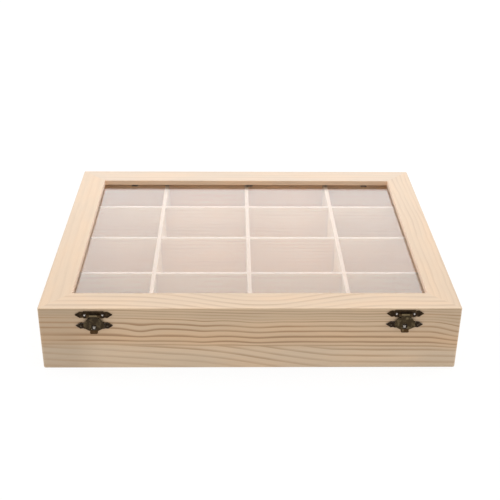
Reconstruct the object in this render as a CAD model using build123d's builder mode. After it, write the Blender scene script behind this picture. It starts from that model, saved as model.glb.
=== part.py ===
# A shallow pine display case: sixteen compartments under a hinged lid with a glass pane.
# Millimetres. +X is right, +Y runs from the front to the back, +Z is up.
# The origin is the middle of the underside.
from build123d import *
import os
from math import cos, radians, sin

os.makedirs("parts", exist_ok=True)

# Compartments
COLUMNS = 4
ROWS = 4
CELL_WIDTH = 70.0  # clear width of a compartment, along X
CELL_DEPTH = 55.0  # clear depth of a compartment, along Y
SLAT = 3.0  # thickness of a divider slat
SLAT_FIT = 0.1  # play on each side of a halved joint
SLAT_END_FIT = 0.3  # play between a slat's end and the wall
SLAT_TOP_GAP = 1.3  # from the slats' tops up to the clips under the pane

# Boards of the case
WALL = 6.0
CASE_HEIGHT = 41.0  # from the underside to the rim, where the saw cut the lid off
CORNER_LAP = 3.0  # what the front and back boards keep in front of the side boards' ends
FLOOR = 3.0
FLOOR_REBATE = 3.0  # how far the floor panel is let into each board
FLOOR_FIT = 0.2
CORNER_RADIUS = 1.5
BOTTOM_EASE = 1.0
TOP_EASE = 0.8

# Lid
STRIP_HEIGHT = 5.8  # side strips, sawn from the same boards as the case
RAIL_WIDTH = 21.4
RAIL_THICKNESS = 4.2
OPENING_EASE = 0.4
GLASS = 2.0
GLASS_OVERLAP = 6.0  # how far the pane lies under each rail
GLASS_ARRIS = 0.2

# Clips that hold the pane, three under the back rail and three under the front rail
CLIPS_PER_RAIL = 3
CLIP_INSET = 24.1  # from the opening's ends to the outer clips
CLIP_SHIFT = 2.7  # the middle clips sit this far right of centre
CLIP_WIDTH = 5.5
CLIP_SHEET = 0.5
CLIP_REACH = 1.4  # how far a clip's tip shows past the rail's inner edge
CLIP_PLAY = 0.4  # between the pane's edge and a clip's step
CLIP_FOOT = 4.5
TACK_RADIUS = 0.5
TACK_LENGTH = 3.0
TACK_HEAD_RADIUS = 1.3
TACK_HEAD = 0.5

# Nails for the latches and hinges
NAIL_RADIUS = 0.55
NAIL_LENGTH = 4.6  # in the wood
NAIL_HEAD_RADIUS = 1.0
NAIL_HEAD = 0.7
NAIL_FIT = 0.03

# Latches. Heights are from the rim. They were nailed on by eye, so the two places differ a little.
LATCH_INSETS = {"left": 39.4, "right": 40.5}  # from the case's end to the latch's middle
LATCH_OFFSETS = {"left": -0.45, "right": 0.45}
SHEET = 0.8  # thickness of the latches' and hinges' sheet metal
KNUCKLE = 1.25  # outer radius of the latch's rolled eyes
LATCH_PIN = 0.6
RUNNING_FIT = 0.05  # radial play of a pin in an eye that turns on it
HELD_FIT = 0.02  # radial play of a pin in an eye that holds it
CLEARANCE = 0.3  # between turning metal and what it passes
EYE_PLAY = 0.2  # between the ends of two eyes
LATCH_AXIS = 4.9
PLATE_LENGTH = 26.4
PLATE_BODY = 14.2  # length of the plate's middle, between its arrowheads
PLATE_HEIGHT = 5.6
PLATE_CENTRE = 5.6
PLATE_NAIL_X = 6.3
PLATE_NAIL_Z = 5.6
ARROW_HEIGHT = 4.9
ARROW_BARB = 3.4  # from the tip to the arrowhead's widest point
ARROW_NECK = 4.3
ARROW_THROAT = 0.6  # from the plate's middle to the arrowhead's narrowest point
EYE_WIDTH = 5.6  # the flap's eye, between the plate's two eyes
PLATE_EYE = 1.8
SLOT_ABOVE = 2.0  # the plate's slot reaches this far above the pin
CATCH_CENTRE = -3.4
CATCH_PLATE_HEIGHT = 5.2
CATCH_NAIL_X = 9.4
CATCH_WIDTH = 2.9
CATCH_TIP = 1.2  # width at its lower end
CATCH_HEIGHT = 2.1
CATCH_DROP = 10.1  # from the pin's axis down to the catch's lower edge
CATCH_OUT = 1.5  # how far the catch stands out of its plate

# Flap of a latch, measured down from its pin's axis
NECK_DROP = 2.0
NECK_WIDTH = 8.6
SHOULDER_DROP = 5.5
SIDE_DROP = 8.8
FLAP_WIDTH = 14.4
FLAP_DROP = 11.1
FLAP_CORNER = 1.2
WINDOW_TOP = 6.7
TAB_WIDTH = 5.6
TAB_DROP = 12.9
TAB_CORNER = 0.8
CURL_DROP = 11.2
TAB_CURL = 0.9  # how far the finger lip turns out

# Hinges at the back
HINGE_INSET = 55.5  # from the case's end to the hinge's middle
HINGE_LENGTH = 24.0
HINGE_KNUCKLE = 1.5
HINGE_PIN = 0.7
HINGE_LEAF = 8.0  # from the pin's axis to the leaf's edge
HINGE_EYE = 8.0  # length of the middle eye
HINGE_NAIL_X = 8.0
HINGE_NAIL_DROP = 4.9
LEAF_CORNER = 1.2
LID_OPENS = 105.0
STOP_MARGIN = 0.5  # degrees between the lid's full swing and the stop's face
STOP_REACH = 3.6

# Sizes that follow from those above
inner_width = COLUMNS * CELL_WIDTH + (COLUMNS - 1) * SLAT
inner_depth = ROWS * CELL_DEPTH + (ROWS - 1) * SLAT
length = inner_width + 2 * WALL
depth = inner_depth + 2 * WALL
rim = CASE_HEIGHT
rail_under = rim + STRIP_HEIGHT
top = rail_under + RAIL_THICKNESS
opening_width = length - 2 * RAIL_WIDTH
opening_depth = depth - 2 * RAIL_WIDTH
pane_under = rail_under - GLASS
slat_top = pane_under - CLIP_SHEET - SLAT_TOP_GAP
slat_height = slat_top - FLOOR
side_signs = {"left": -1, "right": 1}


def on_front(x, z):
    """Plane on the front face: local x runs right, local y up."""
    return Plane(origin=(x, -depth / 2, z), x_dir=(1, 0, 0), z_dir=(0, -1, 0))


def on_back(x, z):
    """Plane on the back face: local x runs towards -X, local y up."""
    return Plane(origin=(x, depth / 2, z), x_dir=(-1, 0, 0), z_dir=(0, 1, 0))


def front_section(x, z):
    """Plane square to the front face: local x runs out of the wood, local y up."""
    return Plane(origin=(x, -depth / 2, z), x_dir=(0, -1, 0), z_dir=(-1, 0, 0))


def back_section(x, z):
    """Plane square to the back face: local x runs out of the wood, local y up."""
    return Plane(origin=(x, depth / 2, z), x_dir=(0, 1, 0), z_dir=(1, 0, 0))


def save(builder, label):
    """Labels a finished piece and writes it under that name."""
    builder.part.label = label
    export_step(builder.part, f"parts/{label}.step")


def round_nail(radius, buried, head_radius, head, sheet):
    """A domed nail along Z: buried below z = 0, through the sheet above it, then its head."""
    with BuildPart() as nail:
        with BuildSketch(Plane.XZ):
            with BuildLine():
                Polyline(
                    (0, sheet + head),
                    (0, -buried),
                    (radius, -buried),
                    (radius, sheet),
                    (head_radius, sheet),
                )
                TangentArc((0, sheet + head), (head_radius, sheet), tangent=(1, 0))
            make_face()
        revolve(axis=Axis.Z)
    return nail.part


def bores(places, radius, buried, sheet):
    """The holes for nails at these planes, through the sheet and into the wood."""
    with BuildPart() as holes:
        with BuildSketch(*[place.offset(-buried) for place in places]):
            Circle(radius)
        extrude(amount=buried + sheet)
    return holes.part


def nail_group(places, nail):
    """All nails of one kind at these planes, as separate solids."""
    with BuildPart() as group:
        with Locations(*places):
            add(nail)
    return group


# Where the latches, hinges and clips are nailed
hinge_x = length / 2 - HINGE_INSET
latch_places = {
    side: (sign * (length / 2 - LATCH_INSETS[side]), rim + LATCH_OFFSETS[side])
    for side, sign in side_signs.items()
}
hinge_places = {side: sign * hinge_x for side, sign in side_signs.items()}
plate_nails = [
    on_front(x + end * PLATE_NAIL_X, z + PLATE_NAIL_Z) for x, z in latch_places.values() for end in (-1, 1)
]
catch_nails = [
    on_front(x + end * CATCH_NAIL_X, z + CATCH_CENTRE) for x, z in latch_places.values() for end in (-1, 1)
]
lid_leaf_nails = [
    on_back(x + end * HINGE_NAIL_X, rim + HINGE_NAIL_DROP) for x in hinge_places.values() for end in (-1, 1)
]
case_leaf_nails = [
    on_back(x + end * HINGE_NAIL_X, rim - HINGE_NAIL_DROP) for x in hinge_places.values() for end in (-1, 1)
]
lid_nail_places = plate_nails + lid_leaf_nails
case_nail_places = catch_nails + case_leaf_nails
nail_bores = bores(lid_nail_places + case_nail_places, NAIL_RADIUS + NAIL_FIT, NAIL_LENGTH, SHEET)

clip_step = GLASS_OVERLAP + CLIP_PLAY
tack_in = clip_step + CLIP_SHEET + CLIP_FOOT / 2
clip_spacing = (opening_width - 2 * CLIP_INSET) / (CLIPS_PER_RAIL - 1)
clip_x = [CLIP_SHIFT + (i - (CLIPS_PER_RAIL - 1) / 2) * clip_spacing for i in range(CLIPS_PER_RAIL)]
tack_places = [
    Plane(origin=(x, end * (opening_depth / 2 + tack_in), rail_under), z_dir=(0, 0, -1))
    for x in clip_x
    for end in (-1, 1)
]
tack_bores = bores(tack_places, TACK_RADIUS + NAIL_FIT, TACK_LENGTH, CLIP_SHEET)

# The closed box as it is before it is sawn, with its arrises eased
with BuildPart() as blank:
    with BuildSketch():
        RectangleRounded(length, depth, CORNER_RADIUS)
    extrude(amount=top)
    fillet(blank.faces().sort_by(Axis.Z)[0].edges(), BOTTOM_EASE)
    fillet(blank.faces().sort_by(Axis.Z)[-1].edges(), TOP_EASE)

# What the floor panel's rebate takes out of the boards
with BuildPart() as floor_rebate:
    with BuildSketch():
        Rectangle(inner_width + 2 * FLOOR_REBATE, inner_depth + 2 * FLOOR_REBATE)
    extrude(amount=FLOOR)


def long_board(side, low, high):
    """Front (side -1) or back (side 1) board from low to high, rebated at its ends for the side boards."""
    rebate = WALL - CORNER_LAP
    rebate_y = side * (inner_depth / 2 + rebate / 2)
    with BuildPart() as board:
        with BuildSketch(Plane.XY.offset(low)):
            with Locations((0, side * (depth - WALL) / 2)):
                Rectangle(length, WALL)
            with Locations((-(length - WALL) / 2, rebate_y), ((length - WALL) / 2, rebate_y)):
                Rectangle(WALL, rebate, mode=Mode.SUBTRACT)
        extrude(amount=high - low)
        add(floor_rebate.part, mode=Mode.SUBTRACT)
        add(nail_bores, mode=Mode.SUBTRACT)
        add(blank.part, mode=Mode.INTERSECT)
    return board


def side_board(side, low, high):
    """Left (side -1) or right (side 1) board from low to high, which ends in the long boards' rebates."""
    with BuildPart() as board:
        with BuildSketch(Plane.XY.offset(low)):
            with Locations((side * (length - WALL) / 2, 0)):
                Rectangle(WALL, depth - 2 * CORNER_LAP)
        extrude(amount=high - low)
        add(floor_rebate.part, mode=Mode.SUBTRACT)
        add(blank.part, mode=Mode.INTERSECT)
    return board


# Boards of the case, up to the saw cut, and the strips of them that stay with the lid above it
save(long_board(-1, 0, rim), "front_wall")
save(long_board(1, 0, rim), "back_wall")
save(long_board(-1, rim, rail_under), "lid_front_strip")
save(long_board(1, rim, rail_under), "lid_back_strip")
for name, sign in side_signs.items():
    save(side_board(sign, 0, rim), f"{name}_wall")
    save(side_board(sign, rim, rail_under), f"lid_{name}_strip")

# Floor panel, let in flush with the underside
with BuildPart() as floor_panel:
    with BuildSketch():
        Rectangle(
            inner_width + 2 * (FLOOR_REBATE - FLOOR_FIT),
            inner_depth + 2 * (FLOOR_REBATE - FLOOR_FIT),
        )
    extrude(amount=FLOOR)
save(floor_panel, "floor_panel")


def slat(plane, run, crossings, notched_from_above):
    """One divider slat on this upright plane, halved where it crosses the others."""
    notch = slat_height / 2 + SLAT_FIT
    notch_z = slat_top - notch / 2 if notched_from_above else FLOOR + notch / 2
    with BuildPart() as board:
        with BuildSketch(plane):
            with Locations((0, FLOOR + slat_height / 2)):
                Rectangle(run - 2 * SLAT_END_FIT, slat_height)
            with Locations(*[(crossing, notch_z) for crossing in crossings]):
                Rectangle(SLAT + 2 * SLAT_FIT, notch, mode=Mode.SUBTRACT)
        extrude(amount=SLAT / 2, both=True)
    return board


# Slats that run across, and slats that run from front to back and drop over them
column_x = [(i - COLUMNS / 2) * (CELL_WIDTH + SLAT) for i in range(1, COLUMNS)]
row_y = [(i - ROWS / 2) * (CELL_DEPTH + SLAT) for i in range(1, ROWS)]
for number, y in enumerate(row_y, start=1):
    save(slat(Plane.XZ.offset(-y), inner_width, column_x, True), f"cross_slat_{number}")
for number, x in enumerate(column_x, start=1):
    save(slat(Plane.YZ.offset(x), inner_depth, row_y, False), f"depth_slat_{number}")

# The flat frame of the lid, before it is divided into its four mitred rails
with BuildPart() as rail_frame:
    with BuildSketch(Plane.XY.offset(rail_under)):
        Rectangle(length, depth)
        Rectangle(opening_width, opening_depth, mode=Mode.SUBTRACT)
    extrude(amount=RAIL_THICKNESS)
    fillet(rail_frame.faces().sort_by(Axis.Z)[-1].inner_wires()[0].edges(), OPENING_EASE)
    add(blank.part, mode=Mode.INTERSECT)
    add(nail_bores, mode=Mode.SUBTRACT)
    add(tack_bores, mode=Mode.SUBTRACT)


def top_rail(corners):
    """One mitred rail: what lies of the flat frame between these corners."""
    with BuildPart() as rail:
        with BuildSketch(Plane.XY.offset(rail_under)):
            with BuildLine():
                Polyline(*corners, close=True)
            make_face()
        extrude(amount=RAIL_THICKNESS)
        add(rail_frame.part, mode=Mode.INTERSECT)
    return rail


outer_x, outer_y = length / 2, depth / 2
inner_x, inner_y = opening_width / 2, opening_depth / 2
for name, sign in (("front", -1), ("back", 1)):
    outer = [(-outer_x, sign * outer_y), (outer_x, sign * outer_y)]
    inner = [(inner_x, sign * inner_y), (-inner_x, sign * inner_y)]
    save(top_rail(outer + inner), f"top_rail_{name}")
for name, sign in side_signs.items():
    outer = [(sign * outer_x, -outer_y), (sign * outer_x, outer_y)]
    inner = [(sign * inner_x, inner_y), (sign * inner_x, -inner_y)]
    save(top_rail(outer + inner), f"top_rail_{name}")

# Pane
with BuildPart() as glass_pane:
    with BuildSketch(Plane.XY.offset(pane_under)):
        Rectangle(opening_width + 2 * GLASS_OVERLAP, opening_depth + 2 * GLASS_OVERLAP)
    extrude(amount=GLASS)
    chamfer(glass_pane.edges(), GLASS_ARRIS)
save(glass_pane, "glass_pane")

# Clips: each lies under the pane, steps up past its edge and is tacked to the rail's underside
clip_planes = [
    Plane(origin=(x, sign * inner_y, 0), x_dir=(0, sign, 0), z_dir=(sign, 0, 0))
    for x in clip_x
    for sign in (-1, 1)
]
with BuildPart() as glass_clips:
    with BuildSketch(*clip_planes):
        with BuildLine():
            Polyline(
                (-CLIP_REACH, pane_under - CLIP_SHEET),
                (clip_step + CLIP_SHEET, pane_under - CLIP_SHEET),
                (clip_step + CLIP_SHEET, rail_under - CLIP_SHEET),
                (clip_step + CLIP_SHEET + CLIP_FOOT, rail_under - CLIP_SHEET),
                (clip_step + CLIP_SHEET + CLIP_FOOT, rail_under),
                (clip_step, rail_under),
                (clip_step, pane_under),
                (-CLIP_REACH, pane_under),
                close=True,
            )
        make_face()
    extrude(amount=CLIP_WIDTH / 2, both=True)
    add(tack_bores, mode=Mode.SUBTRACT)
save(glass_clips, "glass_clips")

tack = round_nail(TACK_RADIUS, TACK_LENGTH, TACK_HEAD_RADIUS, TACK_HEAD, CLIP_SHEET)
save(nail_group(tack_places, tack), "clip_tacks")

# Nails of the latches and hinges
nail = round_nail(NAIL_RADIUS, NAIL_LENGTH, NAIL_HEAD_RADIUS, NAIL_HEAD, SHEET)
save(nail_group(lid_nail_places, nail), "lid_nails")
save(nail_group(case_nail_places, nail), "case_nails")

# Sizes that both halves of a latch share
latch_out = KNUCKLE + CLEARANCE  # from the wood out to the pin's axis
flap_back = latch_out - SHEET / 2  # from the wood out to the back of the flap's upper part
bulge_back = SHEET + CATCH_OUT + CLEARANCE  # the flap's lower part clears the catch as the lid lifts
window_bottom = CATCH_DROP + CLEARANCE
slot_drop = LATCH_AXIS - PLATE_CENTRE + PLATE_HEIGHT / 2
pin_length = EYE_WIDTH + 2 * (EYE_PLAY + PLATE_EYE)


def arrow_plate(plane, height):
    """Sheet-metal plate of a latch, with an arrowhead at each end, lying on this plane."""
    tip = PLATE_LENGTH / 2
    body = PLATE_BODY / 2
    with BuildPart() as plate:
        with BuildSketch(plane):
            with BuildLine():
                Polyline(
                    (0, height / 2),
                    (body, height / 2),
                    (body + ARROW_THROAT, ARROW_NECK / 2),
                    (tip - ARROW_BARB, ARROW_HEIGHT / 2),
                    (tip, 0),
                )
                mirror(about=Plane.XZ)
                mirror(about=Plane.YZ)
            make_face()
        extrude(amount=SHEET)
    return plate


def bar(plane, out, radius, width):
    """Round bar square to this section plane and centred on it, with its axis this far out of the wood."""
    with BuildPart() as rod:
        with BuildSketch(plane):
            with Locations((out, 0)):
                Circle(radius)
        extrude(amount=width / 2, both=True)
    return rod


def latch_plate(x, z):
    """Upper plate of a latch, with a slot for the flap and an eye on each side of it."""
    axis_z = z + LATCH_AXIS
    eye_x = (EYE_WIDTH + PLATE_EYE) / 2 + EYE_PLAY
    sheet = arrow_plate(on_front(x, z + PLATE_CENTRE), PLATE_HEIGHT)
    eyes = [bar(front_section(x + end * eye_x, axis_z), latch_out, KNUCKLE, PLATE_EYE) for end in (-1, 1)]
    bore = bar(front_section(x, axis_z), latch_out, LATCH_PIN + HELD_FIT, pin_length)
    with BuildPart() as plate:
        add(sheet.part)
        with BuildSketch(on_front(x, axis_z + (SLOT_ABOVE - slot_drop) / 2)):
            Rectangle(EYE_WIDTH + 2 * EYE_PLAY, SLOT_ABOVE + slot_drop)
        extrude(amount=SHEET, mode=Mode.SUBTRACT)
        for eye in eyes:
            add(eye.part)
        add(bore.part, mode=Mode.SUBTRACT)
        add(nail_bores, mode=Mode.SUBTRACT)
    return plate


def latch_flap(x, z):
    """Flap that hangs from the pin: it bulges out over the catch, and its tab turns out for a finger."""
    axis_z = z + LATCH_AXIS
    back = [
        (flap_back, 0),
        (flap_back, -SHOULDER_DROP),
        (bulge_back, -window_bottom),
        (bulge_back, -CURL_DROP),
        (bulge_back + TAB_CURL, -TAB_DROP),
    ]
    front = [(out + SHEET, height) for out, height in back]
    eye = bar(front_section(x, axis_z), latch_out, KNUCKLE, EYE_WIDTH)
    bore = bar(front_section(x, axis_z), latch_out, LATCH_PIN + RUNNING_FIT, EYE_WIDTH)
    with BuildPart() as flap:
        with BuildSketch(front_section(x, axis_z)):
            with BuildLine():
                Polyline(*back, *reversed(front), close=True)
            make_face()
        extrude(amount=FLAP_WIDTH / 2, both=True)
        with BuildSketch(on_front(x, axis_z)) as outline:
            with BuildLine():
                Polyline(
                    (0, 0),
                    (EYE_WIDTH / 2, 0),
                    (EYE_WIDTH / 2, -NECK_DROP),
                    (NECK_WIDTH / 2, -NECK_DROP),
                    (FLAP_WIDTH / 2, -SHOULDER_DROP),
                    (FLAP_WIDTH / 2, -SIDE_DROP),
                    (TAB_WIDTH / 2, -FLAP_DROP),
                    (TAB_WIDTH / 2, -TAB_DROP),
                    (0, -TAB_DROP),
                )
                mirror(about=Plane.YZ)
            make_face()
            levels = outline.vertices().group_by(Axis.Y)
            fillet(levels[2] + levels[3], FLAP_CORNER)
            fillet(outline.vertices().group_by(Axis.Y)[0], TAB_CORNER)
            with Locations((0, -(WINDOW_TOP + window_bottom) / 2)):
                Rectangle(CATCH_WIDTH + 2 * CLEARANCE, window_bottom - WINDOW_TOP, mode=Mode.SUBTRACT)
        extrude(amount=bulge_back + TAB_CURL + SHEET, mode=Mode.INTERSECT)
        add(eye.part)
        add(bore.part, mode=Mode.SUBTRACT)
    return flap


def catch_plate(x, z):
    """Lower plate of a latch. Its catch is a wedge that narrows and slopes out as it goes down."""
    catch_z = z + LATCH_AXIS - CATCH_DROP
    sheet = arrow_plate(on_front(x, z + CATCH_CENTRE), CATCH_PLATE_HEIGHT)
    with BuildPart() as catch:
        with BuildSketch(front_section(x, catch_z)):
            with BuildLine():
                Polyline(
                    (SHEET / 2, 0),
                    (SHEET + CATCH_OUT, 0),
                    (SHEET, CATCH_HEIGHT),
                    (SHEET / 2, CATCH_HEIGHT),
                    close=True,
                )
            make_face()
        extrude(amount=CATCH_WIDTH / 2, both=True)
        with BuildSketch(on_front(x, catch_z)):
            with BuildLine():
                Polyline((0, 0), (CATCH_TIP / 2, 0), (CATCH_WIDTH / 2, CATCH_HEIGHT), (0, CATCH_HEIGHT))
                mirror(about=Plane.YZ)
            make_face()
        extrude(amount=SHEET + CATCH_OUT, mode=Mode.INTERSECT)
    with BuildPart() as plate:
        add(sheet.part)
        add(catch.part)
        add(nail_bores, mode=Mode.SUBTRACT)
    return plate


for name, (x, z) in latch_places.items():
    save(latch_plate(x, z), f"latch_plate_{name}")
    save(bar(front_section(x, z + LATCH_AXIS), latch_out, LATCH_PIN, pin_length), f"latch_pin_{name}")
    save(latch_flap(x, z), f"latch_flap_{name}")
    save(catch_plate(x, z), f"catch_plate_{name}")

# Sizes that both leaves of a hinge share
hinge_out = HINGE_KNUCKLE + CLEARANCE  # from the wood out to the pin's axis
outer_eye = (HINGE_LENGTH - HINGE_EYE) / 2 - EYE_PLAY
outer_eye_x = (HINGE_LENGTH - outer_eye) / 2
stop_angle = radians(LID_OPENS + STOP_MARGIN)


def hinge_leaf(x, side, eye_places, eye_width):
    """Leaf above (side 1) or below (side -1) the seam. The one below has a stop on each of its eyes."""
    gap = HINGE_KNUCKLE + CLEARANCE
    fit = RUNNING_FIT if side > 0 else HELD_FIT
    eyes = [bar(back_section(x + place, rim), hinge_out, HINGE_KNUCKLE, eye_width) for place in eye_places]
    bore = bar(back_section(x, rim), hinge_out, HINGE_PIN + fit, HINGE_LENGTH)
    stops = [
        Plane(
            origin=(x + place, depth / 2 + hinge_out, rim),
            x_dir=(0, sin(stop_angle), cos(stop_angle)),
            z_dir=(1, 0, 0),
        )
        for place in eye_places
    ]
    with BuildPart() as leaf:
        with BuildSketch(on_back(x, rim)) as outline:
            with Locations((0, side * (gap + HINGE_LEAF) / 2)):
                Rectangle(HINGE_LENGTH, HINGE_LEAF - gap)
            fillet(outline.vertices().group_by(Axis.Y)[-1 if side > 0 else 0], LEAF_CORNER)
            with Locations(*[(place, side * gap / 2) for place in eye_places]):
                Rectangle(eye_width, gap)
        extrude(amount=SHEET)
        for eye in eyes:
            add(eye.part)
        if side < 0:
            with BuildSketch(*stops):
                with Locations((STOP_REACH / 2, hinge_out - 1.5 * SHEET)):
                    Rectangle(STOP_REACH, SHEET)
            extrude(amount=eye_width / 2, both=True)
        add(bore.part, mode=Mode.SUBTRACT)
        add(nail_bores, mode=Mode.SUBTRACT)
    return leaf


for name, x in hinge_places.items():
    save(hinge_leaf(x, 1, [0], HINGE_EYE), f"hinge_lid_leaf_{name}")
    save(hinge_leaf(x, -1, [-outer_eye_x, outer_eye_x], outer_eye), f"hinge_case_leaf_{name}")
    save(bar(back_section(x, rim), hinge_out, HINGE_PIN, HINGE_LENGTH), f"hinge_pin_{name}")
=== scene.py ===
from math import radians

import bpy
import numpy as np
from mathutils import Matrix, Vector


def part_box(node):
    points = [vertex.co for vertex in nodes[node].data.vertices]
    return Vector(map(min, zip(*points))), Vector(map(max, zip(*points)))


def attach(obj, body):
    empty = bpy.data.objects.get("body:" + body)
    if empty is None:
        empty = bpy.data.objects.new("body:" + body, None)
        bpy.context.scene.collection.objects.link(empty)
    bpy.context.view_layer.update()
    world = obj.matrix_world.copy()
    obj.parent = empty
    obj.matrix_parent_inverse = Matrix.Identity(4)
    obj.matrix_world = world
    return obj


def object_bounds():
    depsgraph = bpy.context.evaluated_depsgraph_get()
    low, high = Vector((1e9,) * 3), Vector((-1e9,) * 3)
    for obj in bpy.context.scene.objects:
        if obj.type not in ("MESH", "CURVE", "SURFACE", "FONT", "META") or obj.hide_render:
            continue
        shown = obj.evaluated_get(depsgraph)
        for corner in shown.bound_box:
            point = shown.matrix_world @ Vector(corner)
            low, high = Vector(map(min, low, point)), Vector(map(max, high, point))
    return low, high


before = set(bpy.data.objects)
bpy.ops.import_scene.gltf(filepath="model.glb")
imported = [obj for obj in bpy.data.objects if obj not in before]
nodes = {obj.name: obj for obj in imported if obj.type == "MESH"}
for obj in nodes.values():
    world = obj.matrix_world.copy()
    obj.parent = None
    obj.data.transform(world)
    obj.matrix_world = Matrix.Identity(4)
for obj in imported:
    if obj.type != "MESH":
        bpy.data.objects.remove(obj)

cad_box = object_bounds()
MM = 0.001

# The camera stands where the photograph was taken: a little left of the middle, looking down on
# the lid. Its focal length and its place were worked out from the case's corners.
IMAGE_SIDE = 500
FOCAL_PIXELS = 926.0
CAMERA_PLACE = Vector((-13.4, -675.6, 399.2)) * MM
CAMERA_YAW, CAMERA_PITCH, CAMERA_ROLL = radians(-1.28), radians(28.47), radians(0.65)

camera_data = bpy.data.cameras.new("camera")
camera_data.sensor_width = 36.0
camera_data.lens = camera_data.sensor_width * FOCAL_PIXELS / IMAGE_SIDE
camera_data.clip_start = 0.01
camera = bpy.data.objects.new("camera", camera_data)
camera.matrix_world = (
    Matrix.Translation(CAMERA_PLACE)
    @ Matrix.Rotation(radians(90), 4, "X")
    @ Matrix.Rotation(CAMERA_YAW, 4, "Y")
    @ Matrix.Rotation(-CAMERA_PITCH, 4, "X")
    @ Matrix.Rotation(CAMERA_ROLL, 4, "Z")
)
scene = bpy.context.scene
scene.collection.objects.link(camera)
scene.camera = camera
scene.view_settings.view_transform = "Standard"

# The studio: a pale floor that runs out to a white background. Only what the camera, gloss and
# glass see of them is made whiter, so the floor still takes the case's shadow.
FLOOR_HALF = 6.0
FLOOR_COLOUR = (0.84, 0.84, 0.84, 1)
FLOOR_GLOW = 0.3  # share of plain white in the floor, as on a light table
FLOOR_LIFT = 0.85  # the same share where the camera sees it
FLOOR_GLOW_STRENGTH = 1.05
SKY_LIGHT = 0.56


def wire(tree, kind, *inputs, **settings):
    """A node of this kind. Its inputs come in order: a value, a node's output, or None to leave one."""
    node = tree.nodes.new(kind)
    for name, value in settings.items():
        setattr(node, name, value)
    for socket, value in zip(node.inputs, inputs):
        if isinstance(value, bpy.types.NodeSocket):
            tree.links.new(value, socket)
        elif value is not None:
            socket.default_value = value
    return node


def maths(tree, operation, *values, clamp=False):
    """The output of one Math node."""
    return wire(tree, "ShaderNodeMath", *values, operation=operation, use_clamp=clamp).outputs[0]


def seen_directly(tree):
    """1 for rays that the camera sees, also by way of gloss and glass, and 0 for the light that falls."""
    path = tree.nodes.new("ShaderNodeLightPath").outputs
    gloss_or_glass = maths(tree, "MAXIMUM", path["Is Glossy Ray"], path["Is Transmission Ray"])
    seen = maths(tree, "MAXIMUM", path["Is Camera Ray"], gloss_or_glass)
    return maths(tree, "MULTIPLY", seen, maths(tree, "LESS_THAN", path["Diffuse Depth"], 0.5))


def empty_material(name):
    """A material without nodes, and its node tree."""
    material = bpy.data.materials.new(name)
    material.use_nodes = True
    material.node_tree.nodes.clear()
    return material, material.node_tree


def floor_material():
    """White paper on a light table: it takes shadows, and glows a little, more so for the camera."""
    material, tree = empty_material("pale_floor")
    paper = wire(tree, "ShaderNodeBsdfDiffuse", FLOOR_COLOUR)
    white = wire(tree, "ShaderNodeEmission", (1, 1, 1, 1), FLOOR_GLOW_STRENGTH)
    share = maths(tree, "MULTIPLY_ADD", seen_directly(tree), FLOOR_LIFT - FLOOR_GLOW, FLOOR_GLOW)
    mixed = wire(tree, "ShaderNodeMixShader", share, paper.outputs[0], white.outputs[0])
    wire(tree, "ShaderNodeOutputMaterial", mixed.outputs[0])
    return material


floor_mesh = bpy.data.meshes.new("floor")
floor_mesh.from_pydata([(x, y, 0) for x, y in ((-1, -1), (1, -1), (1, 1), (-1, 1))], [], [(0, 1, 2, 3)])
floor_mesh.transform(Matrix.Scale(FLOOR_HALF, 4))
floor_mesh.materials.append(floor_material())
floor = bpy.data.objects.new("floor", floor_mesh)
scene.collection.objects.link(floor)

world = bpy.data.worlds.new("studio")
world.use_nodes = True
sky = world.node_tree
sky.nodes.clear()
dim_sky = wire(sky, "ShaderNodeBackground", (1, 0.99, 0.975, 1), SKY_LIGHT)
white_sky = wire(sky, "ShaderNodeBackground", (1, 1, 1, 1), 1.0)
sky_mix = wire(sky, "ShaderNodeMixShader", seen_directly(sky), dim_sky.outputs[0], white_sky.outputs[0])
wire(sky, "ShaderNodeOutputWorld", sky_mix.outputs[0])
scene.world = world


def soft_box(name, place, target, size, radiance, colour=(1, 1, 1)):
    """A rectangular lamp of this radiance, turned to its target. Its power is pi x area x radiance."""
    lamp = bpy.data.lights.new(name, "AREA")
    lamp.shape = "RECTANGLE"
    lamp.size, lamp.size_y = size
    lamp.energy = np.pi * size[0] * size[1] * radiance
    lamp.color = colour
    box = bpy.data.objects.new(name, lamp)
    place, target = Vector(place), Vector(target)
    aim = (target - place).to_track_quat("-Z", "Y").to_matrix().to_4x4()
    box.matrix_world = Matrix.Translation(place) @ aim
    scene.collection.objects.link(box)
    return box


# Four soft lamps light the case from all round. The panel behind it is also what the pane mirrors to
# the camera, which lays a pale, slightly pink veil over the compartments.
soft_box("panel_behind", (0, 1.6, 0.95), (0, 0.2, 0.05), (2.2, 1.0), 1.63, (1.0, 0.945, 0.93))
soft_box("overhead", (0, 0.15, 1.6), (0, 0, 0.03), (1.2, 1.2), 0.85)
soft_box("left_side", (-1.4, 0, 0.9), (0, 0, 0.03), (1.2, 0.9), 2.6)
soft_box("right_side", (1.4, 0, 0.9), (0, 0, 0.03), (1.2, 0.9), 3.1)


# Bare pine. Years are counted from the pith outwards. Each ends in a thin brown line of late wood,
# pale on its inner side and sharp on its outer side. Fine fibres run along the board.
EARLY_WOOD = (0.70, 0.51, 0.335, 1)
LATE_WOOD = (0.43, 0.262, 0.14, 1)
CASE_HALF_LENGTH_MM, CASE_HALF_DEPTH_MM = 150.5, 120.5


def new_group(name, inputs, outputs):
    """An empty group. Inputs are (name, socket type, default), and outputs (name, socket type)."""
    tree = bpy.data.node_groups.new(name, "ShaderNodeTree")
    for label, kind, default in inputs:
        socket = tree.interface.new_socket(label, in_out="INPUT", socket_type=kind)
        if default is not None:
            socket.default_value = default
    for label, kind in outputs:
        tree.interface.new_socket(label, in_out="OUTPUT", socket_type=kind)
    return tree, tree.nodes.new("NodeGroupInput").outputs, tree.nodes.new("NodeGroupOutput").inputs


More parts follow.
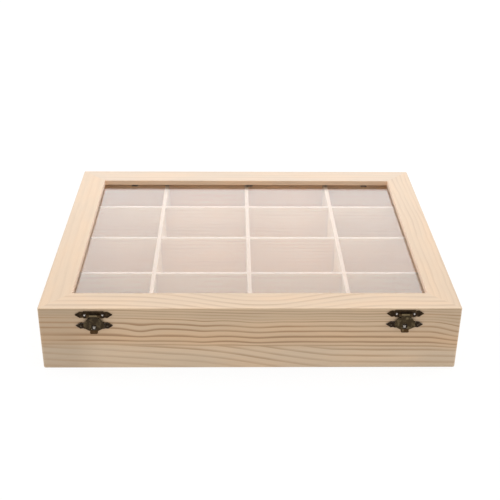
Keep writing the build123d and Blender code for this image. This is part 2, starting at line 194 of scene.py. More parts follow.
def stretched_noise(tree, place, scales, shift, detail=2.0):
    """Noise, about 0.5, whose lumps measure 1/scale along each axis. A shift picks another part of it."""
    scaled = wire(tree, "ShaderNodeVectorMath", place, scales, operation="MULTIPLY")
    moved = wire(tree, "ShaderNodeVectorMath", scaled.outputs[0], shift, operation="ADD")
    noise = wire(tree, "ShaderNodeTexNoise", moved.outputs[0], noise_dimensions="3D")
    noise.inputs["Scale"].default_value = 1.0
    noise.inputs["Detail"].default_value = detail
    return noise.outputs["Fac"]


def smooth_step(tree, value, low, high):
    """0 below low, 1 above high, and an S curve between them."""
    step = wire(tree, "ShaderNodeMapRange", value, low, high, 0.0, 1.0, interpolation_type="SMOOTHSTEP")
    return step.outputs[0]


def blend(tree, share, first, second):
    """The first value where the share is 0, the second where it is 1."""
    return wire(tree, "ShaderNodeMapRange", share, 0.0, 1.0, first, second).outputs[0]


def mix_colours(tree, share, first, second, blend_type="MIX"):
    """The first colour where the share is 0, the second where it is 1, or their product."""
    mix = tree.nodes.new("ShaderNodeMix")
    mix.data_type = "RGBA"
    mix.blend_type = blend_type
    for socket, value in zip((mix.inputs[0], mix.inputs[6], mix.inputs[7]), (share, first, second)):
        if isinstance(value, bpy.types.NodeSocket):
            tree.links.new(value, socket)
        else:
            socket.default_value = value
    return mix.outputs[2]


def make_waver_group():
    """How far the grain strays across the board, in mm: slow bends, quicker ones and a steady drift."""
    tree, given, result = new_group(
        "grain_waver",
        [
            ("Board", "NodeSocketVector", None),
            ("Drift", "NodeSocketFloat", 0.0),
            ("Waver", "NodeSocketFloat", 1.0),
            ("Seed", "NodeSocketFloat", 0.0),
        ],
        [("Stray", "NodeSocketFloat")],
    )
    along = wire(tree, "ShaderNodeSeparateXYZ", given["Board"]).outputs[0]
    slow = stretched_noise(tree, given["Board"], (1 / 75, 1 / 60, 1 / 60), given["Seed"], 0.0)
    quick = stretched_noise(tree, given["Board"], (1 / 30, 1 / 18, 1 / 18), given["Seed"], 1.0)
    slow = maths(tree, "MULTIPLY_ADD", slow, 4.0, -2.0)
    both = maths(tree, "MULTIPLY_ADD", maths(tree, "SUBTRACT", quick, 0.5), 2.2, slow)
    waver = maths(tree, "MULTIPLY", both, given["Waver"])
    stray = maths(tree, "MULTIPLY_ADD", along, given["Drift"], waver)
    tree.links.new(stray, result["Stray"])
    return tree


def make_pine_group():
    """Colour, roughness and height of bare pine from a place on the board and its count of years."""
    tree, given, result = new_group(
        "bare_pine",
        [
            ("Board", "NodeSocketVector", None),
            ("Years", "NodeSocketFloat", 0.0),
            ("Early", "NodeSocketColor", (0.72, 0.53, 0.36, 1)),
            ("Late", "NodeSocketColor", (0.42, 0.26, 0.14, 1)),
            ("Depth", "NodeSocketFloat", 1.0),
            ("Luck", "NodeSocketFloat", 0.65),
            ("Seed", "NodeSocketFloat", 0.0),
        ],
        [
            ("Colour", "NodeSocketColor"),
            ("Roughness", "NodeSocketFloat"),
            ("Height", "NodeSocketFloat"),
        ],
    )
    year = maths(tree, "FLOOR", given["Years"])
    season = maths(tree, "FRACT", given["Years"])
    rise = smooth_step(tree, season, 0.45, 0.9)
    fall = smooth_step(tree, season, 0.92, 1.0)
    late_wood = maths(tree, "MULTIPLY", rise, maths(tree, "SUBTRACT", 1.0, fall))
    own_year = maths(tree, "ADD", year, given["Seed"])
    luck = wire(tree, "ShaderNodeTexWhiteNoise", None, own_year, noise_dimensions="1D").outputs["Value"]
    weakest = maths(tree, "SUBTRACT", 1.0, given["Luck"])
    strength = maths(tree, "MULTIPLY_ADD", luck, given["Luck"], weakest)
    fading = stretched_noise(tree, given["Board"], (1 / 60, 1 / 9, 1 / 9), given["Seed"], 1.0)
    fading = maths(tree, "MULTIPLY_ADD", fading, 2.1, -0.1)
    line = maths(tree, "MULTIPLY", late_wood, maths(tree, "MULTIPLY", strength, fading))
    line = maths(tree, "MULTIPLY", line, given["Depth"], clamp=True)
    fibre = stretched_noise(tree, given["Board"], (1 / 22, 2.1, 2.1), given["Seed"], 3.0)
    blotch = stretched_noise(tree, given["Board"], (1 / 55, 1 / 13, 1 / 13), given["Seed"], 2.0)
    fleck = stretched_noise(tree, given["Board"], (1 / 2.6, 5.5, 5.5), given["Seed"], 1.0)
    fleck = smooth_step(tree, fleck, 0.66, 0.76)
    colour = mix_colours(tree, line, given["Early"], given["Late"])
    shade = maths(tree, "MULTIPLY_ADD", fibre, 0.16, 0.92)
    shade = maths(tree, "MULTIPLY", shade, maths(tree, "MULTIPLY_ADD", blotch, 0.14, 0.93))
    shade = maths(tree, "MULTIPLY", shade, maths(tree, "MULTIPLY_ADD", fleck, -0.07, 1.0))
    grey = wire(tree, "ShaderNodeCombineXYZ", shade, shade, shade).outputs[0]
    colour = mix_colours(tree, 1.0, colour, grey, "MULTIPLY")
    warm = smooth_step(tree, blotch, 0.4, 0.7)
    warm = mix_colours(tree, warm, (1.0, 1.0, 1.0, 1), (1.02, 0.985, 0.95, 1))
    colour = mix_colours(tree, 1.0, colour, warm, "MULTIPLY")
    roughness = maths(tree, "MULTIPLY_ADD", line, -0.08, maths(tree, "MULTIPLY_ADD", fibre, 0.12, 0.4))
    height = maths(tree, "MULTIPLY_ADD", line, 0.5, maths(tree, "MULTIPLY", fibre, 0.5))
    tree.links.new(colour, result["Colour"])
    tree.links.new(roughness, result["Roughness"])
    tree.links.new(height, result["Height"])
    return tree


grain_waver = make_waver_group()
bare_pine = make_pine_group()


def place_group(tree, group, **values):
    """A node that stands for a group, with its inputs set by name."""
    node = tree.nodes.new("ShaderNodeGroup")
    node.node_tree = group
    for name, value in values.items():
        if isinstance(value, bpy.types.NodeSocket):
            tree.links.new(value, node.inputs[name])
        else:
            node.inputs[name].default_value = value
    return node.outputs


def board_place(tree, order):
    """A place on the board in mm: order names the axes along the grain, across it and into the board."""
    metres = tree.nodes.new("ShaderNodeTexCoord").outputs["Object"]
    millimetres = wire(tree, "ShaderNodeVectorMath", metres, (1 / MM,) * 3, operation="MULTIPLY")
    axes = wire(tree, "ShaderNodeSeparateXYZ", millimetres.outputs[0]).outputs
    return wire(tree, "ShaderNodeCombineXYZ", *[axes["XYZ".index(axis)] for axis in order]).outputs[0]


def years_from_pith(tree, board, pith, ring, stray):
    """Years at a place: its distance from the pith's line, with the grain's stray, over a year's width."""
    offset = wire(tree, "ShaderNodeVectorMath", board, (0, *pith), operation="SUBTRACT").outputs[0]
    across = wire(tree, "ShaderNodeVectorMath", offset, (0, 1, 1), operation="MULTIPLY").outputs[0]
    radius = wire(tree, "ShaderNodeVectorMath", across, operation="LENGTH").outputs["Value"]
    return maths(tree, "DIVIDE", maths(tree, "ADD", radius, stray), ring)


def finish_pine(tree, **grain):
    """Joins the pine group, with these inputs, to a Principled BSDF and the material's output."""
    pine = place_group(tree, bare_pine, **grain)
    bump = wire(tree, "ShaderNodeBump")
    bump.inputs["Strength"].default_value = 0.5
    bump.inputs["Distance"].default_value = 0.00006
    tree.links.new(pine["Height"], bump.inputs["Height"])
    shader = tree.nodes.new("ShaderNodeBsdfPrincipled")
    shader.inputs["IOR"].default_value = 1.47
    tree.links.new(pine["Colour"], shader.inputs["Base Color"])
    tree.links.new(pine["Roughness"], shader.inputs["Roughness"])
    tree.links.new(bump.outputs[0], shader.inputs["Normal"])
    wire(tree, "ShaderNodeOutputMaterial", shader.outputs[0])


def hump(tree, value, centre, width):
    """1 at the centre, falling off smoothly to both sides."""
    reach = maths(tree, "DIVIDE", maths(tree, "SUBTRACT", value, centre), width)
    return maths(tree, "EXPONENT", maths(tree, "MULTIPLY", maths(tree, "MULTIPLY", reach, reach), -1.0))


def tinted(colour, tint):
    """A colour whose red, green and blue are multiplied by the tint's."""
    return tuple(channel * share for channel, share in zip(colour, tint)) + (1,)


def pine_material(name, order, pith, ring, drift, waver, seed, depth=1.0, tint=(1, 1, 1), inner_light_tint=None):
    """Pine for one board, sawn so far from the pith, with its own ring width and its own luck.

    An inner light tint lightens the faces that look into the case with painted light, and the lines there
    are fainter too.
    """
    material, tree = empty_material(name)
    board = board_place(tree, order)
    stray = place_group(tree, grain_waver, Board=board, Drift=drift, Waver=waver, Seed=seed)["Stray"]
    years = years_from_pith(tree, board, pith, ring, stray)
    early, strength = tinted(EARLY_WOOD, tint), depth
    if inner_light_tint:
        axes = wire(tree, "ShaderNodeSeparateXYZ", board_place(tree, "XYZ")).outputs
        within_x = maths(tree, "LESS_THAN", maths(tree, "ABSOLUTE", axes[0]), CASE_HALF_LENGTH_MM - 1)
        within_y = maths(tree, "LESS_THAN", maths(tree, "ABSOLUTE", axes[1]), CASE_HALF_DEPTH_MM - 1)
        inside = maths(tree, "MULTIPLY", within_x, within_y)
        # painted light: the faces inside the case are lightened
        early = mix_colours(tree, inside, early, tinted(EARLY_WOOD, inner_light_tint))
        strength = maths(tree, "MULTIPLY", maths(tree, "MULTIPLY_ADD", inside, -0.7, 1.0), depth)
    late = tinted(LATE_WOOD, tint)
    finish_pine(tree, Board=board, Years=years, Early=early, Late=late, Depth=strength, Seed=seed)
    return material


def dress(node, material):
    """Gives a CAD node this one material."""
    mesh = nodes[node].data
    mesh.materials.clear()
    mesh.materials.append(material)


# Front of the case. It is one board with the strip and the rail edge of the lid above it, so its
# lines run on across the saw cuts. They were read from the photograph, as depths in mm below
# the top edge, with the places where the grain dips past a hidden knot.
FRONT_LINES_MM = (0.0, 2.2, 4.4, 6.7, 8.9, 10.9, 15.3, 19.6, 24.3, 28.6, 31.6, 51.0)
FRONT_STRENGTH = (1.6, 1.2, 0.9, 0.5, 0.5, 1.5, 1.1, 1.15, 1.6, 1.4, 0.7, 0.42)
FRONT_DRIFT = 0.008  # the lines sink this much to the right
KNOT_DIP_MM = (-79, 10, 2.1)  # middle, half width and depth of the dip past a hidden knot
KNOT_REACH_MM = (18.0, 6.0)  # depth below the top of the board, and half height, of that dip
DIPS_MM = ((-34, 9, 0.8), (5, 13, 1.2))
LEFT_RISE_MM = 1.6  # the upper lines lie this much higher near the left end
END_DIP_MM = 4.5  # the grain also sinks at the right end of the board
PALE_FROM_MM, SLANT_RING_MM = 32.5, 5.4  # paler wood below, with slanting lines
PALE_TINT, WARM_TINT, TOP_TINT = (1.05, 1.11, 1.19), (1.03, 0.98, 0.93), (0.93, 0.94, 0.94)
LEFT_END_SHADE = 0.81  # the ends of the board are darker, the left one more
RIGHT_END_SHADE = 0.93
FRONT_FACE_MM = -120.3  # the outer face lies beyond this
# painted shade: a dark colour on the wood behind the latches' slots and under their catches, where the
# metal keeps it in shadow
PAINTED_SLOT_SHADE = (0.05, 0.03, 0.018, 1)
PAINTED_SLOT_SHADE_MM = 2.1  # painted shade on the wood behind the latches' slots, this far above and below their pins
PAINTED_CATCH_SHADE_MM = (10.4, 2.6, 2.0)  # depth below the pin, half height and half width of the painted shade under the catch


def hand_drawn_curve(tree, value, points):
    """A Float Curve node through these points, both ways from 0 to 1, with straight lines between."""
    node = wire(tree, "ShaderNodeFloatCurve", 1.0, value)
    curve = node.mapping.curves[0]
    curve.points[0].location, curve.points[1].location = points[0], points[-1]
    for place in points[1:-1]:
        curve.points.new(*place)
    for point in curve.points:
        point.handle_type = "VECTOR"
    node.mapping.update()
    return node.outputs[0]


def make_front_group():
    """Years, line strength and early colour of the front board, from a place on it."""
    tree, given, result = new_group(
        "front_board",
        [("Board", "NodeSocketVector", None)],
        [("Years", "NodeSocketFloat"), ("Strength", "NodeSocketFloat"), ("Early", "NodeSocketColor")],
    )
    along, height, into = wire(tree, "ShaderNodeSeparateXYZ", given["Board"]).outputs
    waver = place_group(tree, grain_waver, Board=given["Board"], Drift=FRONT_DRIFT, Waver=0.35, Seed=4.0)
    stray = waver["Stray"]
    below_top = maths(tree, "SUBTRACT", cad_box[1].z / MM, height)
    knot = hump(tree, along, *KNOT_DIP_MM[:2])
    knot = maths(tree, "MULTIPLY", knot, hump(tree, below_top, *KNOT_REACH_MM))
    stray = maths(tree, "MULTIPLY_ADD", knot, KNOT_DIP_MM[2], stray)
    upper_lines = smooth_step(tree, below_top, 23.5, 17.5)
    leftward = maths(tree, "MULTIPLY", smooth_step(tree, along, 10.0, -100.0), upper_lines)
    stray = maths(tree, "MULTIPLY_ADD", leftward, -LEFT_RISE_MM, stray)
    upper_fade = smooth_step(tree, below_top, 4.0, 12.0)
    lower_fade = smooth_step(tree, below_top, 34.0, 28.0)
    dipping = maths(tree, "MULTIPLY", upper_fade, lower_fade)
    for middle, width, drop in DIPS_MM:
        dip = maths(tree, "MULTIPLY", hump(tree, along, middle, width), dipping)
        stray = maths(tree, "MULTIPLY_ADD", dip, drop, stray)
    right_end = smooth_step(tree, along, 128.0, 154.0)
    end_dip = maths(tree, "MULTIPLY", right_end, hump(tree, below_top, 20.0, 11.0))
    stray = maths(tree, "MULTIPLY_ADD", end_dip, END_DIP_MM, stray)
    depth = maths(tree, "SUBTRACT", below_top, stray)
    board_height = FRONT_LINES_MM[-1]
    last = len(FRONT_LINES_MM) - 1
    share = maths(tree, "DIVIDE", depth, board_height)
    line_shares = [line / board_height for line in FRONT_LINES_MM]
    line_points = [(line, count / last) for count, line in enumerate(line_shares)]
    years = maths(tree, "MULTIPLY", hand_drawn_curve(tree, share, line_points), last)
    strength_points = [(line, strong / 2) for line, strong in zip(line_shares, FRONT_STRENGTH)]
    strength = maths(tree, "MULTIPLY", hand_drawn_curve(tree, share, strength_points), 2.0)
    slide = maths(tree, "MULTIPLY", maths(tree, "MINIMUM", along, 60.0), 0.06)
    slide = maths(tree, "MULTIPLY_ADD", smooth_step(tree, along, -50.0, 70.0), 10.0, slide)
    slanting = maths(tree, "DIVIDE", maths(tree, "SUBTRACT", depth, slide), SLANT_RING_MM)
    low = maths(tree, "GREATER_THAN", depth, FRONT_LINES_MM[-2])
    slanting = maths(tree, "ADD", slanting, 40.0)
    years = blend(tree, low, years, slanting)
    pale = smooth_step(tree, depth, PALE_FROM_MM - 3.0, PALE_FROM_MM + 3.0)
    early = mix_colours(tree, pale, EARLY_WOOD, tinted(EARLY_WOOD, PALE_TINT))
    early = mix_colours(tree, hump(tree, depth, 25.0, 5.0), early, tinted(EARLY_WOOD, WARM_TINT))
    early = mix_colours(tree, smooth_step(tree, depth, 12.0, 7.0), early, tinted(EARLY_WOOD, TOP_TINT))
    darker_left_end = smooth_step(tree, along, -132.0, -104.0)
    shade = blend(tree, darker_left_end, LEFT_END_SHADE, 1.0)
    right_shade = blend(tree, smooth_step(tree, along, 108.0, 136.0), 1.0, RIGHT_END_SHADE)
    shade = maths(tree, "MULTIPLY", shade, right_shade)
    shade = wire(tree, "ShaderNodeCombineXYZ", shade, shade, shade).outputs[0]
    early = mix_colours(tree, 1.0, early, shade, "MULTIPLY")
    # painted shade: the wood behind each latch's slot and under its catch is darkened to stand in for
    # shadow
    for side in ("left", "right"):
        low_corner, high_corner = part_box(f"latch_pin_{side}")
        middle, axis = (low_corner + high_corner) / 2 / MM, (low_corner.z + high_corner.z) / 2 / MM
        beside = maths(tree, "COMPARE", along, middle.x, (high_corner.x - low_corner.x) / 2 / MM)
        behind_slot = maths(tree, "MULTIPLY", beside, maths(tree, "COMPARE", height, axis, PAINTED_SLOT_SHADE_MM))
        shade_drop, shade_half_height, shade_half_width = PAINTED_CATCH_SHADE_MM
        under_catch = maths(tree, "COMPARE", height, axis - shade_drop, shade_half_height)
        below_pin = maths(tree, "COMPARE", along, middle.x, shade_half_width)
        under_catch = maths(tree, "MULTIPLY", under_catch, below_pin)
        painted_shade = maths(tree, "MAXIMUM", behind_slot, under_catch)
        painted_shade = maths(tree, "MULTIPLY", painted_shade, maths(tree, "LESS_THAN", into, FRONT_FACE_MM))
        early = mix_colours(tree, painted_shade, early, PAINTED_SLOT_SHADE)
        strength = maths(tree, "MULTIPLY", strength, maths(tree, "SUBTRACT", 1.0, painted_shade))
    tree.links.new(years, result["Years"])
    tree.links.new(strength, result["Strength"])
    tree.links.new(early, result["Early"])
    return tree


front_board = make_front_group()
front_pine, front_tree = empty_material("pine_front")
front_place = board_place(front_tree, "XZY")
front_grain = place_group(front_tree, front_board, Board=front_place)
finish_pine(
    front_tree,
    Board=front_place,
    Years=front_grain["Years"],
    Early=front_grain["Early"],
    Late=LATE_WOOD,
    Depth=front_grain["Strength"],
    Luck=0.25,
    Seed=4.0,
)
for node in ("front_wall", "lid_front_strip"):
    dress(node, front_pine)

# The other three sides. Each is one pine board, from which the strip of the lid above it was sawn, so
# the two share one material and their lines run on. The back board's inner faces are lightened with
# painted light.
BACK_INNER_LIGHT_TINT = (1.25, 1.13, 1.05)
side_pine = {
    "back": pine_material(
        "pine_back", "XZY", (-60, 40), 3.4, 0.006, 0.6, 17.0, 0.9, inner_light_tint=BACK_INNER_LIGHT_TINT
    ),
    "left": pine_material("pine_left", "YZX", (-30, 60), 3.8, -0.008, 0.45, 29.0),
    "right": pine_material("pine_right", "YZX", (85, -40), 3.1, 0.01, 0.5, 41.0),
}
for side, material in side_pine.items():
    dress(f"{side}_wall", material)
    dress(f"lid_{side}_strip", material)

# Floor of the case: a thin, paler pine panel let into a rebate under the four boards, with wide years
# because it was sawn far from the pith.
FLOOR_TINT = (1.24, 1.17, 1.2)
floor_pine = pine_material("pine_floor", "XYZ", (20, -90), 6.0, 0.02, 2.0, 53.0, 0.7, FLOOR_TINT)
dress("floor_panel", floor_pine)

# Top rails of the lid: four flat strips, mitred at the corners, each with its grain along it. Their
# planed inner edges, which hide the pane's edge, are lightened with painted light, and the front one's
# outer edge is the sawn top of the front board.
OPENING_X_MM, OPENING_Y_MM = 129.1, 99.1  # half sizes of the opening
RAIL_EDGE_LIGHT_TINT, SIDE_EDGE_LIGHT_TINT = (1.42, 1.24, 1.1), (1.42, 1.4, 1.5)
ARRIS_HIGHLIGHT_TINT = (1.1, 1.15, 1.2)  # painted highlight along the front rail's front edge, where the light catches it
# the rails' tints are partly their own tone and partly painted sheen, lighter and bluer towards the back
FRONT_TINT, BACK_SHEEN_TINT, BACK_OF_SIDE_SHEEN_TINT = (0.95, 1.0, 1.09), (0.99, 1.1, 1.3), (1.0, 1.08, 1.22)
FRONT_RAIL_VALLEY_MM = (9, 52, 17)  # middle, half width and depth of the front rail's sagging lines


def rail_material(side, order, pith, ring, drift, waver, seed, depth, near_tint_and_sheen, far_tint_and_sheen):
    """Pine for one rail. Its tints at the front and at the back of the lid, partly the wood's tone and
    partly painted sheen, blend along a side rail.
    """
    material, tree = empty_material(f"pine_rail_{side}")
    board = board_place(tree, order)
    axes = wire(tree, "ShaderNodeSeparateXYZ", board_place(tree, "XYZ")).outputs
    stray = place_group(tree, grain_waver, Board=board, Drift=drift, Waver=waver, Seed=seed)["Stray"]
    if side == "front":
        middle, width, drop = FRONT_RAIL_VALLEY_MM
        stray = maths(tree, "MULTIPLY_ADD", hump(tree, axes[0], middle, width), drop, stray)
    years = years_from_pith(tree, board, pith, ring, stray)
    # painted sheen that grows towards the back of the lid, blended with the rail's tone
    backward = smooth_step(tree, axes[1], -110.0, 110.0)
    early = mix_colours(tree, backward, tinted(EARLY_WOOD, near_tint_and_sheen), tinted(EARLY_WOOD, far_tint_and_sheen))
    inside_x = maths(tree, "LESS_THAN", maths(tree, "ABSOLUTE", axes[0]), OPENING_X_MM + 0.15)
    inside_y = maths(tree, "LESS_THAN", maths(tree, "ABSOLUTE", axes[1]), OPENING_Y_MM + 0.15)
    inner_edge = maths(tree, "MULTIPLY", inside_x, inside_y)
    # painted light: the rails' inner edges are lightened
    edge_light_tint = SIDE_EDGE_LIGHT_TINT if side in ("left", "right") else RAIL_EDGE_LIGHT_TINT
    lit_edge_colour = mix_colours(tree, 1.0, early, edge_light_tint + (1,), "MULTIPLY")
    early = mix_colours(tree, inner_edge, early, lit_edge_colour)
    late = tinted(LATE_WOOD, near_tint_and_sheen)
    strength = maths(tree, "MULTIPLY", maths(tree, "SUBTRACT", 1.0, inner_edge), depth)
    if side == "front":
        # painted highlight on the front rail's front edge
        arris_highlight = maths(tree, "MULTIPLY", hump(tree, axes[1], FRONT_FACE_MM + 0.6, 0.9), 0.7)
        early = mix_colours(tree, arris_highlight, early, tinted(EARLY_WOOD, ARRIS_HIGHLIGHT_TINT))
        sawn = maths(tree, "LESS_THAN", axes[1], FRONT_FACE_MM)
        grain = place_group(tree, front_board, Board=board_place(tree, "XZY"))
        early = mix_colours(tree, sawn, early, grain["Early"])
        years = blend(tree, sawn, years, grain["Years"])
        strength = blend(tree, sawn, strength, grain["Strength"])
    finish_pine(tree, Board=board, Years=years, Early=early, Late=late, Depth=strength, Seed=seed)
    return material


# Each rail's axes, place of the pith, ring width, drift, waver, seed, depth of its lines and two tints
rail_boards = {
    "front": ("XYZ", (-190, 30), 5.6, 0.0, 0.9, 61.0, 0.42, FRONT_TINT, FRONT_TINT),
    "back": ("XYZ", (190, 20), 5.0, 0.004, 0.8, 73.0, 0.22, BACK_SHEEN_TINT, BACK_SHEEN_TINT),
    "left": ("YXZ", (-220, 35), 6.0, 0.01, 1.0, 87.0, 0.18, FRONT_TINT, BACK_OF_SIDE_SHEEN_TINT),
    "right": ("YXZ", (90, -20), 2.3, 0.006, 0.9, 99.0, 0.28, FRONT_TINT, BACK_OF_SIDE_SHEEN_TINT),
}
for side, board in rail_boards.items():
    dress(f"top_rail_{side}", rail_material(side, *board))

# Slats that divide the case into its compartments, thinner than the boards. The cross slats' faces are
# lightened with painted light, the depth slats' darkened with painted shade, and all upper edges carry
# painted shade.
SLAT_TOP_SHADE_TINT = (0.69, 0.665, 0.76)
# painted light on the cross slats' faces, and painted shade on the depth slats' faces
CROSS_SLAT_LIGHT_TONES = {1: (1.18, 1.19, 1.2), 2: (1.09, 1.1, 1.13), 3: (1.05, 1.07, 1.09)}
DEPTH_SLAT_SHADE_TONE = (0.86, 0.89, 0.97)


def slat_material(name, order, pith, ring, seed, tone):
    """Pine for one slat: its faces in the given tone, which paints light or shade on them, its top edge in
    the painted shade that all share.
    """
    material, tree = empty_material(name)
    board = board_place(tree, order)
    stray = place_group(tree, grain_waver, Board=board, Drift=0.004, Waver=0.8, Seed=seed)["Stray"]
    years = years_from_pith(tree, board, pith, ring, stray)
    up = wire(tree, "ShaderNodeSeparateXYZ", board_place(tree, "XYZ")).outputs[2]
    # painted shade on the top edges of the slats
    on_top = maths(tree, "GREATER_THAN", up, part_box("cross_slat_1")[1].z / MM - 0.05)
    early = mix_colours(tree, on_top, tinted(EARLY_WOOD, tone), tinted(EARLY_WOOD, SLAT_TOP_SHADE_TINT))
    finish_pine(tree, Board=board, Years=years, Early=early, Late=LATE_WOOD, Depth=0.4, Seed=seed)
    return material


for number, tone in CROSS_SLAT_LIGHT_TONES.items():
    seed = 110.0 + 7 * number
    cross_pine = slat_material(f"pine_cross_{number}", "XZY", (-40, 30), 3.0, seed, tone)
    depth_pine = slat_material(f"pine_depth_{number}", "YZX", (70, 25), 2.8, seed + 3, DEPTH_SLAT_SHADE_TONE)
    dress(f"cross_slat_{number}", cross_pine)
    dress(f"depth_slat_{number}", depth_pine)


# The pane: 2 mm float glass, clear, with a hint of green and a surface that is flat to the eye.
# Light for the case falls through it unbent, as through any thin pane.
def pane_material():
    """Clear glass with a faint ripple, which light for the case passes as if it were only tinted air."""
    material, tree = empty_material("clear_pane")
    glass = tree.nodes.new("ShaderNodeBsdfPrincipled")
    glass.inputs["Base Color"].default_value = (0.975, 0.99, 0.98, 1)
    glass.inputs["Roughness"].default_value = 0.0
    glass.inputs["IOR"].default_value = 1.5
    glass.inputs["Transmission Weight"].default_value = 1.0
    ripple_place = tree.nodes.new("ShaderNodeTexCoord").outputs["Object"]
    ripple = stretched_noise(tree, ripple_place, (9.0, 6.0, 6.0), (3.0, 1.0, 2.0), 1.0)
    bump = wire(tree, "ShaderNodeBump")
    bump.inputs["Strength"].default_value = 0.2
    bump.inputs["Distance"].default_value = 0.00005
    tree.links.new(ripple, bump.inputs["Height"])
    tree.links.new(bump.outputs[0], glass.inputs["Normal"])
    through = wire(tree, "ShaderNodeBsdfTransparent", (0.9, 0.92, 0.91, 1))
    shadow = tree.nodes.new("ShaderNodeLightPath").outputs["Is Shadow Ray"]
    mixed = wire(tree, "ShaderNodeMixShader", shadow, glass.outputs[0], through.outputs[0])
    wire(tree, "ShaderNodeOutputMaterial", mixed.outputs[0])
    return material


dress("glass_pane", pane_material())


# Metalwork. The latches and hinges are thin brass sheet, chemically darkened and then rubbed, so the
# proud places and the edges come up brown and bright. The clips are plain darkened steel.
def make_patina_group():
    """Dark patina that is rubbed through where the surface turns an edge or where a cloth has passed."""
    tree, given, result = new_group(
        "rubbed_patina",
        [
            ("Dark", "NodeSocketColor", (0.035, 0.026, 0.018, 1)),
            ("Rubbed", "NodeSocketColor", (0.36, 0.27, 0.17, 1)),
            ("Amount", "NodeSocketFloat", 0.5),
            ("Edge", "NodeSocketFloat", 0.0),
        ],
        [("Colour", "NodeSocketColor"), ("Roughness", "NodeSocketFloat"), ("Height", "NodeSocketFloat")],
    )
    place = tree.nodes.new("ShaderNodeTexCoord").outputs["Object"]
    cloud = stretched_noise(tree, place, (420.0,) * 3, (1.0, 2.0, 3.0), 3.0)
    grit = stretched_noise(tree, place, (2600.0,) * 3, (4.0, 0.0, 2.0), 2.0)
    cloth = smooth_step(tree, cloud, 0.45, 0.75)
    rubbed = maths(tree, "MULTIPLY", cloth, given["Amount"])
    bared_edge = maths(tree, "MULTIPLY", given["Edge"], maths(tree, "ADD", cloud, 0.3))
    rubbed = maths(tree, "MAXIMUM", rubbed, bared_edge)
    rubbed = maths(tree, "MULTIPLY", rubbed, maths(tree, "ADD", grit, 0.45), clamp=True)
    tree.links.new(mix_colours(tree, rubbed, given["Dark"], given["Rubbed"]), result["Colour"])
    tree.links.new(maths(tree, "MULTIPLY_ADD", rubbed, -0.22, 0.5), result["Roughness"])
    tree.links.new(maths(tree, "MULTIPLY_ADD", grit, 0.6, rubbed), result["Height"])
    return tree


rubbed_patina = make_patina_group()


def metal_material(name, dark, rubbed, amount, proud, flap=None):
    """Metal on the case's front or back, dark where it lies low and rubbed where it stands proud.

    Proud is how far out of the wood, in mm, the rubbing starts and where it is full. A flap's rolled
    eye gets a rubbed band that is partly wear and partly painted highlight, and its finger tab is browner
    and less rubbed.
    """
    material, tree = empty_material(name)
    rounded = wire(tree, "ShaderNodeBevel", EDGE_REACH, samples=4).outputs[0]
    flat = tree.nodes.new("ShaderNodeNewGeometry").outputs["Normal"]
    likeness = wire(tree, "ShaderNodeVectorMath", rounded, flat, operation="DOT_PRODUCT").outputs["Value"]
    edge = smooth_step(tree, maths(tree, "SUBTRACT", 1.0, likeness), 0.02, 0.2)
    _, across, up = wire(tree, "ShaderNodeSeparateXYZ", board_place(tree, "XYZ")).outputs
    out = maths(tree, "SUBTRACT", maths(tree, "ABSOLUTE", across), CASE_HALF_DEPTH_MM)
    standing = smooth_step(tree, out, *proud)
    worn = maths(tree, "MAXIMUM", maths(tree, "MULTIPLY", edge, 0.6), standing)
    if flap:
        low_corner, high_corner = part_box(flap)
        tab_top = low_corner.z / MM + TAB_LENGTH_MM
        # painted highlight: a rubbed band along the top of the rolled eye, partly wear and partly painted
        # highlight
        eye_highlight = hump(tree, up, high_corner.z / MM - EYE_HIGHLIGHT_MM, 0.35)
        worn = maths(tree, "MAXIMUM", worn, maths(tree, "MULTIPLY", eye_highlight, 0.75))
        tab = smooth_step(tree, up, tab_top + 0.5, tab_top - 0.5)
        worn = maths(tree, "MULTIPLY", worn, maths(tree, "MULTIPLY_ADD", tab, -0.85, 1.0))
        dark = mix_colours(tree, tab, dark, TAB_BROWN)
    patina = place_group(tree, rubbed_patina, Dark=dark, Rubbed=rubbed, Amount=amount, Edge=worn)
    bump = wire(tree, "ShaderNodeBump")
    bump.inputs["Strength"].default_value = 0.6
    bump.inputs["Distance"].default_value = 0.00004
    tree.links.new(patina["Height"], bump.inputs["Height"])
    tree.links.new(rounded, bump.inputs["Normal"])
    shader = tree.nodes.new("ShaderNodeBsdfPrincipled")
    shader.inputs["Metallic"].default_value = 0.85
    tree.links.new(patina["Colour"], shader.inputs["Base Color"])
    tree.links.new(patina["Roughness"], shader.inputs["Roughness"])
    tree.links.new(bump.outputs[0], shader.inputs["Normal"])
    wire(tree, "ShaderNodeOutputMaterial", shader.outputs[0])
    return material


EDGE_REACH = 0.00025  # metres from an edge within which it is rubbed
TAB_LENGTH_MM, TAB_BROWN = 2.6, (0.065, 0.032, 0.010, 1)
EYE_HIGHLIGHT_MM = 0.45  # below the top of the rolled eye
DARK_BRONZE, RUBBED_BRONZE = (0.024, 0.012, 0.004, 1), (0.25, 0.165, 0.08, 1)
bronze = metal_material("antique_bronze", DARK_BRONZE, RUBBED_BRONZE, 0.25, (1.6, 5.0))
catch_bronze = metal_material("catch_bronze", DARK_BRONZE, (0.6, 0.55, 0.5, 1), 0.1, (0.95, 1.6))
nail_bronze = metal_material("nail_bronze", (0.06, 0.05, 0.04, 1), (0.85, 0.78, 0.75, 1), 0.4, (1.2, 1.5))
dark_nails = metal_material("dark_nails", (0.03, 0.02, 0.013, 1), (0.24, 0.19, 0.14, 1), 0.4, (1.2, 1.8))
clip_steel = metal_material("clip_steel", (0.05, 0.04, 0.035, 1), (0.3, 0.28, 0.26, 1), 0.3, (50, 60))
flap_colours = {  # patina, rubbed metal and how much of it is rubbed
    "left": ((0.040, 0.026, 0.013, 1), (0.31, 0.235, 0.13, 1), 0.25),
    "right": ((0.046, 0.030, 0.013, 1), (0.31, 0.24, 0.13, 1), 0.45),
}
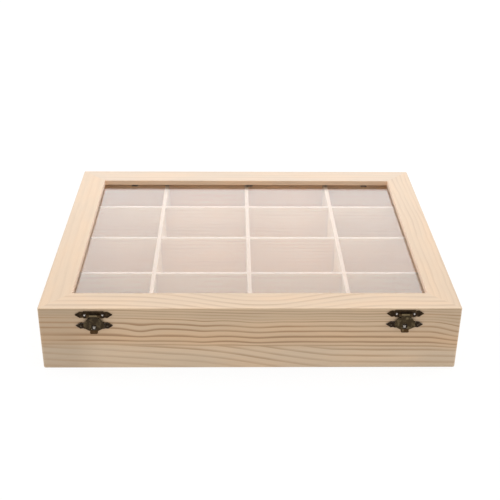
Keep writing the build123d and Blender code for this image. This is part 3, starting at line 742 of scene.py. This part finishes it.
for side, (patina, rubbed, amount) in flap_colours.items():
    flap = f"latch_flap_{side}"
    dress(flap, metal_material(f"flap_bronze_{side}", patina, rubbed, amount, (2.8, 9.0), flap))
    dress(f"catch_plate_{side}", catch_bronze)
    for piece in ("latch_plate", "latch_pin", "hinge_lid_leaf", "hinge_case_leaf", "hinge_pin"):
        dress(f"{piece}_{side}", bronze)
dress("lid_nails", nail_bronze)
dress("case_nails", dark_nails)
for node in ("glass_clips", "clip_tacks"):
    dress(node, clip_steel)

# Rings that are pressed up out of the latch plates' sheet, one in each arrowhead. On the upper plates
# they stand alone, and on the lower plates they go round the nails.
RING_OUT_MM = 0.8  # face of the sheet, out of the wood
RING_TUBE_MM = 0.22  # the pressed ridge's radius
RING_STEPS, TUBE_STEPS = 48, 10


def pressed_rings(name, body, places, radius):
    """Rings round lines that run from front to back, each a torus half sunk in the sheet.

    For the turns a round the ring and b round its tube, x and z are the middle plus (radius + tube
    cos b) times cos a and sin a, and y is the sheet's face plus tube sin b.
    """
    turns = np.linspace(0, 2 * np.pi, RING_STEPS, endpoint=False)[:, None]
    tube_turns = np.linspace(0, 2 * np.pi, TUBE_STEPS, endpoint=False)[None, :]
    reach = radius + RING_TUBE_MM * np.cos(tube_turns)
    across = (reach * np.cos(turns)).ravel()
    up = (reach * np.sin(turns)).ravel()
    out = (-CASE_HALF_DEPTH_MM - RING_OUT_MM + RING_TUBE_MM * np.sin(tube_turns) + 0 * turns).ravel()
    points = np.concatenate([np.column_stack([x + across, out, z + up]) for x, z in places]) * MM
    count = np.arange(turns.size * tube_turns.size).reshape(turns.size, tube_turns.size)
    beside, above = np.roll(count, -1, axis=0), np.roll(count, -1, axis=1)
    corner = np.roll(beside, -1, axis=1)
    ring_faces = np.stack([count, above, corner, beside], axis=-1).reshape(-1, 4)
    faces = np.concatenate([ring_faces + number * count.size for number in range(len(places))])
    mesh = bpy.data.meshes.new(name)
    mesh.from_pydata(points.tolist(), [], faces.tolist())
    mesh.polygons.foreach_set("use_smooth", np.ones(len(faces), dtype=bool))
    mesh.materials.append(bronze)
    piece = bpy.data.objects.new(name, mesh)
    scene.collection.objects.link(piece)
    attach(piece, body)
    return piece


def ring_places(plates, reach):
    """Middles of the arrowheads at both ends of these plates, in mm."""
    corners = [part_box(plate) for plate in plates]
    middles = [((low.x + high.x) / 2 / MM, (low.z + high.z) / 2 / MM) for low, high in corners]
    return [(x + end * reach, z) for x, z in middles for end in (-1, 1)]


upper_places = ring_places(("latch_plate_left", "latch_plate_right"), reach=9.9)
lower_places = ring_places(("catch_plate_left", "catch_plate_right"), reach=9.4)
pressed_rings("lid_plate_rings", "lid", upper_places, radius=1.15)
pressed_rings("case_plate_rings", "case", lower_places, radius=1.6)
